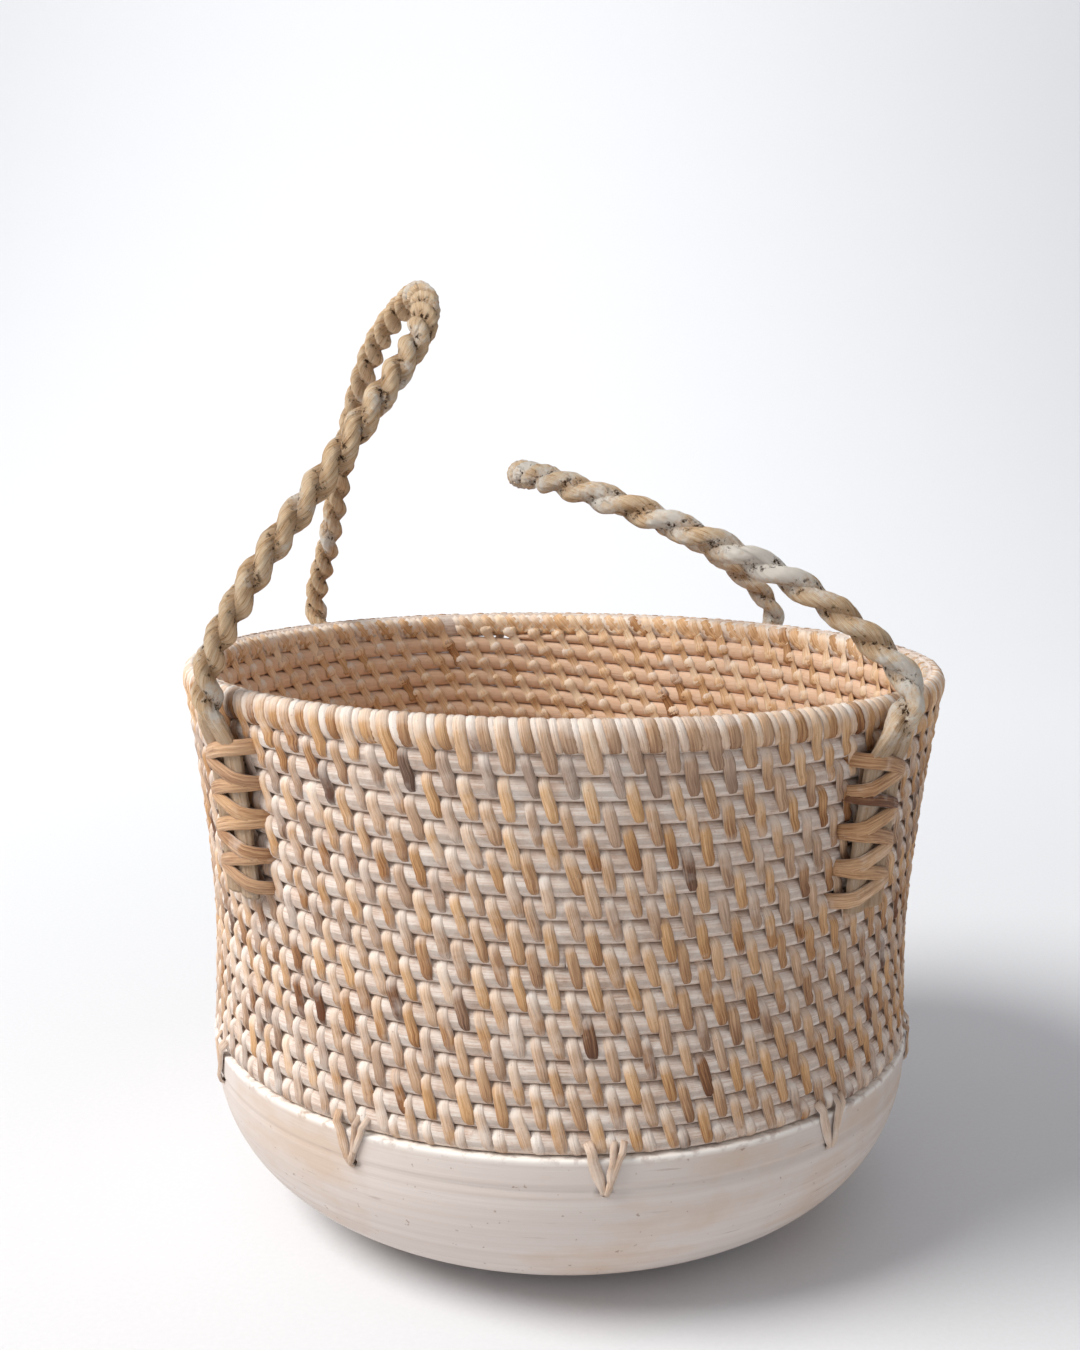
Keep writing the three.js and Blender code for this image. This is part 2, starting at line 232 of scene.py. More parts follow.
def swept(name, centres, sides, outs, section, attributes, finish):
    """Bars swept along paths. centres, sides and outs are (bars, steps, 3): the path, and the two
    directions across it at their full scale. section is (points, 2), and may be given for every
    step. attributes are (bars, steps) or (bars, steps, points) arrays."""
    bars, steps, _ = centres.shape
    section = np.broadcast_to(section, (bars, steps) + section.shape[-2:])
    points = section.shape[2]
    across = sides[:, :, None, :] * section[..., 0:1]
    proud = outs[:, :, None, :] * section[..., 1:2]
    vertices = (centres[:, :, None, :] + across + proud).reshape(-1, 3)

    index = np.arange(bars * steps * points).reshape(bars, steps, points)
    here, there = index[:, :-1], index[:, 1:]
    after_here, after_there = np.roll(here, -1, axis=2), np.roll(there, -1, axis=2)
    quads = np.stack([here, after_here, after_there, there], -1).reshape(-1, 4)
    caps = [list(face) for face in index[:, 0, ::-1]] + [list(face) for face in index[:, -1]]

    lengths = np.linalg.norm(np.diff(centres, axis=1), axis=2)
    along = np.concatenate([np.zeros((bars, 1)), np.cumsum(lengths, axis=1)], axis=1)
    along = along + RANDOM.uniform(0, 10, (bars, 1))
    u = np.broadcast_to(along[:, :, None], (bars, steps, points))
    v = np.broadcast_to(np.linspace(0, 1, points), (bars, steps, points))
    uv = np.stack([u, v], -1).reshape(-1, 2)
    spread = {}
    for key, values in attributes.items():
        values = np.asarray(values)
        per_point = values if values.ndim == 3 else values[..., None]
        spread[key] = np.broadcast_to(per_point, (bars, steps, points))
    return mesh_object(name, vertices, list(quads) + caps, spread, uv, finish)


# A cane's section: flat behind, crowned in front, in shares of its width and thickness.
CANE_SECTION = np.array(
    [(-0.5, -0.1), (-0.48, 0.3), (-0.3, 0.8), (0.0, 1.0), (0.3, 0.8), (0.48, 0.3), (0.5, -0.1)]
)


def cane(name, centres, outs, widths, thicknesses, attributes):
    """Strips of split cane on the basket, flat side towards what they bind."""
    tangents = np.gradient(centres, axis=1)
    sides = unit(np.cross(tangents, outs))
    piece = swept(
        name,
        centres,
        sides * widths[..., None],
        unit(outs) * thicknesses[..., None],
        CANE_SECTION,
        attributes,
        CANE,
    )
    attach(piece, "basket")
    return piece


def circle_section(points):
    angles = np.linspace(0, 2 * math.pi, points, endpoint=False)
    return np.stack([np.cos(angles), np.sin(angles)], -1)


def pressed_square(section):
    """A round section pressed a little square, as a rod's is between its neighbours."""
    return np.sign(section) * np.abs(section) ** 0.82


def smooth_noise(positions, seed, waves=6):
    """A smooth random value between about -1 and 1 along an array of distances."""
    rng = np.random.default_rng(seed)
    total = np.zeros_like(positions, float)
    for _ in range(waves):
        total += np.sin(positions * rng.uniform(0.5, 2.0) + rng.uniform(0, 2 * math.pi))
    return total / waves


# ---- Material helpers --------------------------------------------------------------------------


class Nodes:
    """A short way to write one material's node tree."""

    def __init__(self, name):
        self.material = bpy.data.materials.new(name)
        self.material.use_nodes = True
        self.tree = self.material.node_tree
        self.shader = self.tree.nodes["Principled BSDF"]

    def add(self, kind, **settings):
        node = self.tree.nodes.new(kind)
        for key, value in settings.items():
            setattr(node, key, value)
        return node

    def link(self, source, target):
        self.tree.links.new(source, target)

    def attribute(self, name):
        return self.add("ShaderNodeAttribute", attribute_name=name).outputs["Fac"]

    def objects(self, scale=(1, 1, 1)):
        return self._mapped(self.add("ShaderNodeTexCoord").outputs["Object"], scale)

    def strip(self, scale=(1, 1, 1)):
        return self._mapped(self.add("ShaderNodeTexCoord").outputs["UV"], scale)

    def _mapped(self, vector, scale):
        mapping = self.add("ShaderNodeMapping")
        mapping.inputs["Scale"].default_value = scale
        self.link(vector, mapping.inputs["Vector"])
        return mapping.outputs["Vector"]

    def noise(self, vector, scale, detail=3.0, roughness=0.55):
        node = self.add("ShaderNodeTexNoise")
        node.inputs["Scale"].default_value = scale
        node.inputs["Detail"].default_value = detail
        node.inputs["Roughness"].default_value = roughness
        self.link(vector, node.inputs["Vector"])
        return node.outputs["Fac"]

    def ramp(self, value, stops):
        node = self.add("ShaderNodeValToRGB")
        ramp = node.color_ramp
        while len(ramp.elements) < len(stops):
            ramp.elements.new(0.5)
        for element, (place, colour) in zip(ramp.elements, stops):
            element.position = place
            element.color = (*colour, 1)
        self.link(value, node.inputs["Fac"])
        return node.outputs["Color"]

    def grey(self, value, low, high):
        """value mapped so that low gives 0 and high gives 1."""
        node = self.add("ShaderNodeMapRange")
        node.inputs["From Min"].default_value = low
        node.inputs["From Max"].default_value = high
        self.link(value, node.inputs["Value"])
        return node.outputs["Result"]

    def math(self, operation, first, second):
        node = self.add("ShaderNodeMath", operation=operation)
        for value, socket in zip((first, second), node.inputs):
            if isinstance(value, (int, float)):
                socket.default_value = value
            else:
                self.link(value, socket)
        return node.outputs["Value"]

    def mix(self, share, first, second):
        node = self.add("ShaderNodeMix", data_type="RGBA")
        for value, socket in ((share, node.inputs[0]), (first, node.inputs[6]), (second, node.inputs[7])):
            if isinstance(value, (int, float)):
                socket.default_value = value
            elif isinstance(value, tuple):
                socket.default_value = (*value, 1)
            else:
                self.link(value, socket)
        return node.outputs[2]

    def bump(self, height, distance, strength=1.0, after=None):
        node = self.add("ShaderNodeBump")
        node.inputs["Distance"].default_value = distance
        node.inputs["Strength"].default_value = strength
        self.link(height, node.inputs["Height"])
        if after is not None:
            self.link(after, node.inputs["Normal"])
        return node.outputs["Normal"]

    def finish(self, colour, roughness, normal, specular=0.3):
        self.link(colour, self.shader.inputs["Base Color"])
        if isinstance(roughness, float):
            self.shader.inputs["Roughness"].default_value = roughness
        else:
            self.link(roughness, self.shader.inputs["Roughness"])
        self.link(normal, self.shader.inputs["Normal"])
        self.shader.inputs["Specular IOR Level"].default_value = specular
        return self.material


def srgb(red, green, blue):
    """Linear colour of an sRGB colour given from 0 to 255."""
    return tuple(
        value / 255 / 12.92 if value <= 10 else ((value / 255 + 0.055) / 1.055) ** 2.4
        for value in (red, green, blue)
    )


# ---- Materials ---------------------------------------------------------------------------------

WHITEWASH = srgb(244, 232, 221)
PINK_WASH = srgb(224, 200, 184)


def cane_material():
    """Split cane: streaks along the strip. Each strip has its own tone and greyness, and is
    whitewashed where 'wash' is high and along its edges. 'wash' also carries painted light: more
    of it on the side of the basket towards the light and on the tops of the knobs."""
    m = Nodes("cane")
    fibres = m.noise(m.strip((55, 12, 1)), 1.0, detail=4, roughness=0.65)
    blotches = m.noise(m.objects(), 110.0, detail=3)
    tone = m.math("ADD", m.attribute("tone"), m.math("MULTIPLY", m.math("SUBTRACT", fibres, 0.5), 1.3))
    ochre = m.ramp(
        tone,
        [
            (0.0, srgb(104, 62, 36)),
            (0.25, srgb(162, 112, 70)),
            (0.55, srgb(210, 164, 116)),
            (0.8, srgb(236, 196, 154)),
            (1.0, srgb(248, 221, 188)),
        ],
    )
    taupe = m.ramp(
        tone,
        [
            (0.0, srgb(104, 82, 70)),
            (0.4, srgb(172, 146, 128)),
            (0.7, srgb(206, 180, 162)),
            (1.0, srgb(232, 211, 196)),
        ],
    )
    colour = m.mix(m.attribute("grey"), ochre, taupe)
    across = m.add("ShaderNodeSeparateXYZ")
    m.link(m.strip(), across.inputs["Vector"])
    from_middle = m.math("ABSOLUTE", m.math("SUBTRACT", across.outputs["Y"], 0.5), 0)
    edges = m.math("MULTIPLY", m.grey(from_middle, 0.3, 0.46), 0.5)
    wash = m.math("ADD", m.attribute("wash"), m.math("MULTIPLY", m.math("SUBTRACT", blotches, 0.5), 1.1))
    colour = m.mix(m.grey(m.math("ADD", wash, edges), 0.2, 0.95), colour, WHITEWASH)
    specks = m.grey(m.noise(m.objects(), 700.0, detail=2), 0.66, 0.76)
    colour = m.mix(m.math("MULTIPLY", specks, 0.35), colour, srgb(108, 76, 52))
    normal = m.bump(fibres, 0.0008, 0.9)
    return m.finish(colour, m.grey(wash, -1.6, 1.4), normal, 0.25)


def rod_material():
    """Whitewashed rattan rod: grain along the rod and the wash rubbed through in places. Where
    'inside' is high it is painted warmer and brighter: painted warm bounce light inside the basket."""
    m = Nodes("whitewashed_rattan")
    grain = m.noise(m.strip((38, 44, 1)), 1.0, detail=6, roughness=0.75)
    patches = m.noise(m.objects(), 90.0, detail=5, roughness=0.65)
    fine = m.noise(m.objects(), 520.0, detail=3)
    rubbed = m.math("ADD", m.math("MULTIPLY", grain, 0.65), m.math("MULTIPLY", patches, 0.45))
    colour = m.ramp(
        rubbed,
        [
            (0.36, srgb(158, 122, 96)),
            (0.45, srgb(208, 180, 160)),
            (0.54, srgb(230, 210, 195)),
            (0.64, WHITEWASH),
        ],
    )
    colour = m.mix(m.grey(fine, 0.58, 0.72), colour, PINK_WASH)
    # painted bounce light: the inside faces of the rods are painted warmer and brighter
    colour = m.mix(m.math("MULTIPLY", m.attribute("inside"), 0.6), colour, srgb(244, 196, 152))
    normal = m.bump(grain, 0.0009, 0.8)
    normal = m.bump(fine, 0.0004, 0.5, after=normal)
    return m.finish(colour, 0.85, normal, 0.15)


def bowl_material():
    """Pale turned wood under a thin wash: faint turned rings, tan smudges, scratches and pores.
    The wash is thick and chipped along the edge."""
    m = Nodes("whitewashed_wood")
    place = m.objects()
    rings = m.noise(m.objects((3, 3, 420)), 1.0, detail=5, roughness=0.65)
    bands = m.noise(m.objects((1, 1, 90)), 1.0, detail=2)
    clouds = m.noise(place, 11.0, detail=5, roughness=0.6)
    streaks = m.noise(m.objects((16, 16, 110)), 1.0, detail=5)
    smudge = m.grey(m.math("ADD", clouds, m.math("MULTIPLY", streaks, 0.45)), 0.74, 0.92)
    colour = m.mix(m.grey(bands, 0.35, 0.65), srgb(212, 200, 192), srgb(222, 211, 204))
    colour = m.mix(m.math("MULTIPLY", smudge, 0.6), colour, srgb(206, 178, 152))
    colour = m.mix(m.math("MULTIPLY", m.grey(rings, 0.45, 0.7), 0.35), colour, srgb(198, 180, 168))
    scratches = m.grey(m.noise(m.objects((30, 30, 500)), 1.0, detail=3), 0.68, 0.74)
    colour = m.mix(m.math("MULTIPLY", scratches, 0.4), colour, srgb(158, 134, 116))
    pores = m.grey(m.noise(place, 280.0, detail=2), 0.70, 0.75)
    colour = m.mix(m.math("MULTIPLY", pores, 0.55), colour, srgb(140, 108, 84))
    chips = m.grey(m.noise(place, 150.0, detail=4), 0.36, 0.5)
    colour = m.mix(m.math("MULTIPLY", m.attribute("edge"), chips), colour, srgb(250, 244, 236))
    normal = m.bump(rings, 0.0005, 0.6)
    normal = m.bump(m.noise(place, 330.0, detail=3), 0.0002, 0.4, after=normal)
    return m.finish(colour, 0.72, normal, 0.25)


def rope_material():
    """Twisted rattan fibre: streaks along each strand, broken white patches, painted shade in brown
    along the groove between the strands, and dark specks there. It is dull with wash where it is
    bound to the wall."""
    m = Nodes("rattan_rope")
    fibres = m.noise(m.strip((60, 60, 1)), 1.0, detail=7, roughness=0.8)
    coarse = m.noise(m.strip((30, 12, 1)), 1.0, detail=3)
    patches = m.noise(m.objects(), 42.0, detail=7, roughness=0.75)
    colour = m.ramp(
        m.math("ADD", m.math("MULTIPLY", fibres, 0.8), m.math("MULTIPLY", coarse, 0.35)),
        [
            (0.41, srgb(130, 90, 58)),
            (0.48, srgb(204, 160, 116)),
            (0.56, srgb(238, 204, 162)),
            (0.68, srgb(252, 232, 204)),
        ],
    )
    # painted shade: brown along the groove where the strands meet
    colour = m.mix(m.math("MULTIPLY", m.attribute("groove"), 0.4), colour, srgb(156, 110, 72))
    wash = m.math("ADD", m.attribute("wash"), m.math("SUBTRACT", patches, 0.5))
    colour = m.mix(m.grey(wash, 0.06, 0.18), colour, srgb(250, 241, 228))
    colour = m.mix(m.math("MULTIPLY", m.attribute("bound"), 0.6), colour, srgb(182, 152, 128))
    dark = m.grey(m.noise(m.objects(), 330.0, detail=4, roughness=0.7), 0.54, 0.62)
    colour = m.mix(m.math("MULTIPLY", dark, m.attribute("groove")), colour, srgb(78, 56, 38))
    normal = m.bump(fibres, 0.0018, 1.0)
    return m.finish(colour, 0.85, normal, 0.15)


def floor_material():
    """Matt studio paper."""
    m = Nodes("studio_floor")
    tooth = m.noise(m.objects(), 400.0)
    colour = m.mix(m.grey(tooth, 0.3, 0.7), srgb(230, 231, 233), srgb(233, 234, 236))
    return m.finish(colour, 0.9, m.bump(tooth, 0.0002, 0.2), 0.2)


CANE = cane_material()
ROD = rod_material()
WOOD = bowl_material()
ROPE = rope_material()

# ---- Bowl --------------------------------------------------------------------------------------


def bowl_curve(foot, edge, floor, steps):
    """A quarter of an oval from the foot up to the edge, as radii and heights."""
    angles = np.linspace(math.pi / 2, 0, steps)
    radii = foot + (edge - foot) * np.cos(angles)
    return radii, BOWL_TOP - (BOWL_TOP - floor) * np.sin(angles) ** 0.8


def bowl():
    """The turned bowl, with a crisp lip, turned lines round the outside and drilled tie holes."""
    segments = 288
    outside_r, outside_z = bowl_curve(FOOT_RADIUS, BOWL_RADIUS, 0, 110)
    inside_r, inside_z = bowl_curve(FOOT_RADIUS - BOWL_WALL / 2, BOWL_RADIUS - BOWL_WALL, BOWL_FLOOR, 40)
    for drop, depth in TURNED_LINES:
        away = (outside_z - (BOWL_TOP - drop)) / TURNED_LINE_WIDTH
        outside_r = outside_r - depth * np.exp(-(away**2))
    outside_z = np.minimum(outside_z, BOWL_TOP - BOWL_LIP)
    inside_z = np.minimum(inside_z, BOWL_TOP - BOWL_LIP)
    turn = np.linspace(0, math.pi / 2, 5)
    outer_lip_r = BOWL_RADIUS - BOWL_LIP * (1 - np.cos(turn))
    inner_lip_r = BOWL_RADIUS - BOWL_WALL + BOWL_LIP * (1 - np.cos(turn[::-1]))
    lip_z = BOWL_TOP - BOWL_LIP * (1 - np.sin(turn))
    radii = np.concatenate([outside_r[:-1], outer_lip_r, inner_lip_r, inside_r[-2::-1]])
    heights = np.concatenate([outside_z[:-1], lip_z, lip_z[::-1], inside_z[-2::-1]])
    edge = np.exp(-(((BOWL_TOP - heights) / (1.7 * MM)) ** 2))

    angles = np.linspace(0, 2 * math.pi, segments, endpoint=False)
    uneven = 1 + edge[:, None] * 0.0012 * smooth_noise(40 * angles, 5)[None, :]
    vertices = ring(radii[:, None] * uneven, angles[None, :], heights[:, None]).reshape(-1, 3)
    index = np.arange(len(radii) * segments).reshape(len(radii), segments)
    here, above = index[:-1], index[1:]
    quads = np.stack([here, np.roll(here, -1, 1), np.roll(above, -1, 1), above], -1).reshape(-1, 4)
    under, floor = len(vertices), len(vertices) + 1
    vertices = np.concatenate([vertices, [[0, 0, 0], [0, 0, BOWL_FLOOR]]])
    fans = []
    for here, after in zip(range(segments), [*range(1, segments), 0]):
        fans.append([under, index[0, after], index[0, here]])
        fans.append([floor, index[-1, here], index[-1, after]])
    attributes = {"edge": np.concatenate([np.repeat(edge, segments), [0, 0]])}
    uv = np.zeros((len(vertices), 2))
    piece = mesh_object("turned_bowl", vertices, list(quads) + fans, attributes, uv, WOOD)
    drill_holes(piece)
    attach(piece, "basket")
    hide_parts("bowl_base")


def tie_azimuths():
    return [math.radians(TIE_FIRST_AZIMUTH + i * 360 / TIE_COUNT) for i in range(TIE_COUNT)]


def drill_holes(piece):
    """Cuts the tie holes through the bowl's wall."""
    drills = bmesh.new()
    for azimuth in tie_azimuths():
        outward = Matrix.Rotation(azimuth, 4, "Z") @ Matrix.Translation(
            (BOWL_RADIUS - BOWL_WALL / 2, 0, BOWL_TOP - TIE_HOLE_DROP)
        )
        bmesh.ops.create_cone(
            drills,
            cap_ends=True,
            segments=20,
            radius1=TIE_HOLE_RADIUS,
            radius2=TIE_HOLE_RADIUS,
            depth=4 * BOWL_WALL,
            matrix=outward @ Matrix.Rotation(math.pi / 2, 4, "Y"),
        )
    mesh = bpy.data.meshes.new("drills")
    drills.to_mesh(mesh)
    drills.free()
    cutter = bpy.data.objects.new("drills", mesh)
    bpy.context.scene.collection.objects.link(cutter)
    cut = piece.modifiers.new("holes", "BOOLEAN")
    cut.object = cutter
    cut.operation = "DIFFERENCE"
    cut.solver = "EXACT"
    graph = bpy.context.evaluated_depsgraph_get()
    result = bpy.data.meshes.new_from_object(piece.evaluated_get(graph))
    piece.modifiers.clear()
    piece.data = result
    bpy.data.objects.remove(cutter)


# ---- Coil --------------------------------------------------------------------------------------


def coil_cores():
    """The rattan rod under the sewing, in the lengths that the coil is spliced from. It bulges a
    little between the stitches."""
    steps_per_stitch = 7
    splice_gap = 0.0004
    first, last = -3, ROW_COUNT * STEPS_PER_TURN - 1
    cuts = [round(first + (last - first) * i / ROD_COUNT) / STEPS_PER_TURN for i in range(ROD_COUNT + 1)]
    section = pressed_square(circle_section(16))
    for number, (start, end) in enumerate(zip(cuts[:-1], cuts[1:]), 1):
        steps = int((end - start) * STITCHES_PER_TURN * steps_per_stitch)
        turns = np.linspace(start, end - splice_gap, steps)
        low = BOWL_TOP + GAP + rows_climbed(turns) * ROW_PITCH
        high = BOWL_TOP + rows_climbed(turns + 1) * ROW_PITCH
        height = (low + high) / 2
        angle = CLIMB_END + 2 * math.pi * turns
        between = np.cos(2 * math.pi * (turns * STITCHES_PER_TURN - 0.34))
        lump = 1 + 0.035 * between + 0.025 * smooth_noise(angle * 12, number)
        centres = ring(wall_radius(height) - WALL_THICKNESS / 2, angle, height)[None]
        radial = ring(np.ones_like(angle), angle, 0 * angle)[None]
        tall = (high - low) / 2 + 0.2 * MM
        piece = swept(
            f"coil_core_{number}",
            centres,
            radial * (ROD_RADIUS * lump)[None, :, None],
            UP * tall[None, :, None],
            section,
            {"inside": np.clip(-2 * section[None, None, :, 0], 0, 1)},
            ROD,
        )
        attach(piece, "basket")
        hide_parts(f"coil_rod_{number}")


# Where a strip runs round its two rods, as degrees round each rod from its outside, with how
# proud, how wide and how whitewashed it is there; near the top of the upper rod that last value
# also holds a painted highlight, where the knob faces up to the light. It rises out of the groove
# as a knob over the upper rod, runs down the outside, dives under the lower rod, and comes back
# up the inside.
ON_TOP_ROD = [
    (88, 0.5, 0.82, 0.9),
    (62, 1.0, 0.95, 1.0),
    (38, 1.15, 1.0, 0.8),
    (14, 1.05, 1.0, 0.35),
    (-12, 0.95, 1.04, 0.05),
]
ON_LOW_ROD = [
    (24, 0.95, 1.03, 0.0),
    (4, 1.0, 0.98, 0.0),
    (-18, 0.85, 0.82, 0.1),
    (-38, 0.35, 0.62, 0.3),
    (-54, -1.6, 0.4, 0.4),
]
UP_INSIDE_LOW = [
    (-138, -1.4, 0.6, 0.3),
    (-158, 0.7, 1.1, 0.25),
    (-180, 1.2, 1.45, 0.35),
    (-202, 0.5, 1.1, 0.1),
]
UP_INSIDE_TOP = [
    (202, 0.3, 1.0, 0.0),
    (180, 1.1, 1.4, 0.25),
    (156, 1.1, 1.3, 0.6),
    (128, 0.9, 0.95, 0.9),
]
# The same where a strip goes round a single rod.
UNDER_ONE_ROD = [
    (-34, 0.9, 0.95, 0.05),
    (-54, 0.4, 0.85, 0.1),
    (-74, -1.0, 0.7, 0.2),
]
UP_INSIDE_ONE_ROD = [
    (-108, -1.0, 0.7, 0.2),
    (-130, 0.5, 0.9, 0.1),
    (-158, 1.0, 1.0, 0.0),
]


def sewn_loops(name, angle, pitch, top, top_half, low, low_half, looks):
    """Strips of cane sewn round two rods, one above the other, or round one rod, if both are the
    same. top and low are the rods' middles as (bars, 2) radii and heights, and the halves their
    half-widths and half-heights. Each strip leans down the outside, and back up the inside to
    where the next one starts."""
    one_rod = top is low
    under, inside = (UNDER_ONE_ROD, UP_INSIDE_ONE_ROD) if one_rod else (ON_LOW_ROD, UP_INSIDE_LOW)
    outside_points = len(ON_TOP_ROD) + len(under)
    stations = [(top, top_half, ON_TOP_ROD), (low, low_half, under)]
    stations += [(low, low_half, inside), (top, top_half, UP_INSIDE_TOP)]
    rows = np.array([row for _, _, points in stations for row in points])
    proud, wide, pale = rows[:, 1], rows[:, 2], rows[:, 3]
    radii, heights = [], []
    for middle, half, points in stations:
        around = np.radians([point[0] for point in points])
        sunk = np.minimum([point[1] for point in points], 0) * MM
        radii.append(middle[:, 0:1] + (half[:, 0:1] + sunk) * np.cos(around))
        heights.append(middle[:, 1:2] + (half[:, 1:2] + sunk) * np.sin(around))
    radii, heights = np.concatenate(radii, axis=1), np.concatenate(heights, axis=1)
    out_r, out_z = np.cos(np.radians(rows[:, 0])), np.sin(np.radians(rows[:, 0]))

    highest, lowest = heights.max(axis=1, keepdims=True), heights.min(axis=1, keepdims=True)
    fall = highest - heights
    lean = looks["lean"][:, None]
    drift_low = lean * (highest - lowest)
    drift_in = drift_low + (pitch - drift_low) * (heights - lowest) / (highest - lowest)
    outside = np.arange(len(rows)) < outside_points
    drift = np.where(outside, lean * fall, drift_in)
    turned = angle[:, None] + drift / radii
    # painted shade: each strip's tone darkens down the outside, towards its lower end where it dives into
    # the groove
    painted_shade_down_strip = np.where(outside, 0.1 - 0.3 * fall / (highest - lowest), 0.22)
    return cane(
        name,
        ring(radii, turned, heights),
        ring(out_r[None], turned, out_z[None]),
        looks["width"][:, None] * wide[None, :],
        looks["thickness"][:, None] * np.maximum(proud, 0.3)[None, :],
        {
            "tone": looks["tone"][:, None] + painted_shade_down_strip,
            "grey": looks["grey"][:, None] * np.where(outside, 1.0, 0.1),
            # whitewash plus a painted highlight: the knob's top is made whitest where it faces up to the
            # light
            "wash": looks["wash"][:, None] + 0.55 * pale[None, :],
        },
    )


def stitch_looks(count, tone=0.55, wash=0.1, width=CANE_WIDTH, run=0.0):
    """Each strip's own lean, width, thickness, tone, greyness and wash. Strips cut from the same
    cane follow one another, so tones change slowly along the sewing."""
    places = run + np.arange(count)
    tones = tone + 0.13 * smooth_noise(places / 3, 11) * 2 + RANDOM.normal(0, 0.07, count)
    darker = RANDOM.random(count) < 0.045
    return {
        "lean": STITCH_LEAN + RANDOM.normal(0, 0.035, count),
        "width": width * RANDOM.normal(1, 0.07, count).clip(0.8, 1.15),
        "thickness": CANE_THICKNESS * RANDOM.normal(1, 0.1, count).clip(0.75, 1.3),
        "tone": np.where(darker, tones - 0.4, tones).clip(0.02, 1),
        "grey": (0.28 + smooth_noise(places / 5, 23) * 1.1 + RANDOM.normal(0, 0.1, count)).clip(0, 1),
        "wash": RANDOM.normal(wash, 0.1, count),
    }


def painted_side_light(angle):
    """Painted light: how much paler the sewing is painted at an angle round the basket, on the side
    towards the light, added to its wash.
    """
    return SIDE_LIGHT_AMOUNT * np.cos(angle - LIT_SIDE).clip(0, 1)


def row_stitches(row):
    """The turns at which the stitches of a row begin."""
    first = math.ceil(row * STITCHES_PER_TURN)
    last = math.ceil((row + 1) * STITCHES_PER_TURN)
    return np.arange(first, last) / STITCHES_PER_TURN


def rod_middles(turns):
    return np.stack([row_radius(turns), row_height(turns)], -1)


def sewing():
    """The sewing cane, one piece for each row. Every stitch goes over its own rod and the one
    below, half a pitch from the stitches of that row."""
    half_sizes = [ROD_RADIUS, ROW_PITCH / 2]
    for row in range(ROW_COUNT):
        turns = row_stitches(row)
        count = len(turns)
        half = np.full((count, 2), half_sizes)
        pitch = 2 * math.pi * float(row_radius(turns).mean()) / STITCHES_PER_TURN
        looks = stitch_looks(count, run=row * STITCHES_PER_TURN)
        if row < 2:
            looks["wash"] += 0.15 * (2 - row)
            looks["thickness"] *= 0.85
        angle = CLIMB_END + 2 * math.pi * turns + RANDOM.normal(0, 0.0035, count)
        own_rod = rod_middles(turns)
        rod_below = rod_middles(turns - 1) if row else own_rod
        # painted light: the sewing is paler on the side of the basket that faces the light
        looks["wash"] += painted_side_light(angle)
        sewn_loops(f"sewing_row_{row + 1:02d}", angle, pitch, own_rod, half, rod_below, half, looks)


def rim():
    """The rim rod, the long strips that also hold the top row, and the short ones between."""
    middle = RIM_RADIUS - WALL_THICKNESS / 2
    angles = np.linspace(0, 2 * math.pi, 361)
    half = np.array([ROD_RADIUS, (RIM_TOP - ROWS_TOP) / 2 - 0.2 * MM])
    height = RIM_TOP - CANE_THICKNESS - half[1]
    centres = ring(middle, angles, np.full_like(angles, height))[None]
    radial = ring(np.ones_like(angles), angles, 0 * angles)[None]
    core = swept(
        "rim_core", centres, radial * half[0], UP * half[1] + 0 * radial, circle_section(16), {}, ROD
    )
    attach(core, "basket")
    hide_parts("rim_rod")

    turns = row_stitches(ROW_COUNT - 1)
    count = len(turns)
    step = 2 * math.pi / STITCHES_PER_TURN
    starts = CLIMB_END + 2 * math.pi * turns - STRIP_OFFSET * step + RANDOM.normal(0, 0.002, count)
    top = np.tile([middle, height], (count, 1))
    top_half = np.tile(half, (count, 1))
    row_half = np.full((count, 2), [ROD_RADIUS, ROW_PITCH / 2])
    long_looks = stitch_looks(count, tone=0.62, wash=0.0, width=1.15 * CANE_WIDTH)
    # painted light: the rim's strips are paler on the side of the basket that faces the light
    long_looks["wash"] += painted_side_light(starts)
    long = sewn_loops(
        "rim_wrap_long", starts, step * middle, top, top_half, rod_middles(turns), row_half, long_looks
    )
    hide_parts("rim_wrap")
    for name, place, tone, wash, width, thickness in (
        ("rim_wrap_white", 0.3, 0.75, 0.3, 0.8, 0.8),
        ("rim_wrap_short", 0.55, 0.45, -0.15, 1.15, 1.0),
        ("rim_wrap_edge", 0.8, 0.7, 0.25, 0.7, 0.75),
    ):
        looks = stitch_looks(count, tone=tone, wash=wash, width=width * CANE_WIDTH)
        looks["thickness"] *= thickness
        angle = starts + place * step
        # painted light: these strips are paler on the side of the basket that faces the light
        looks["wash"] += painted_side_light(angle)
        sewn_loops(name, angle, step * middle, top, top_half, top, top_half, looks)


# ---- Handles -----------------------------------------------------------------------------------


def centripetal_curve(points, samples_per_span=40):
    """The smooth curve through the points that the CAD's rope follows."""
    points = np.asarray(points, float)
    before = 2 * points[0] - points[1]
    after = 2 * points[-1] - points[-2]
    padded = np.concatenate([[before], points, [after]])
    curve = []
    for i in range(1, len(padded) - 2):
        p0, p1, p2, p3 = padded[i - 1 : i + 3]
        d0, d1, d2 = (np.linalg.norm(b - a) ** 0.5 for a, b in ((p0, p1), (p1, p2), (p2, p3)))
        m1 = ((p1 - p0) / d0 - (p2 - p0) / (d0 + d1) + (p2 - p1) / d1) * d1
        m2 = ((p2 - p1) / d1 - (p3 - p1) / (d1 + d2) + (p3 - p2) / d2) * d1
        t = np.linspace(0, 1, samples_per_span, endpoint=False)[:, None]
        curve.append(
            (2 * t**3 - 3 * t**2 + 1) * p1
            + (t**3 - 2 * t**2 + t) * m1
            + (3 * t**2 - 2 * t**3) * p2
            + (t**3 - t**2) * m2
        )
    return np.concatenate(curve + [points[-1:]])


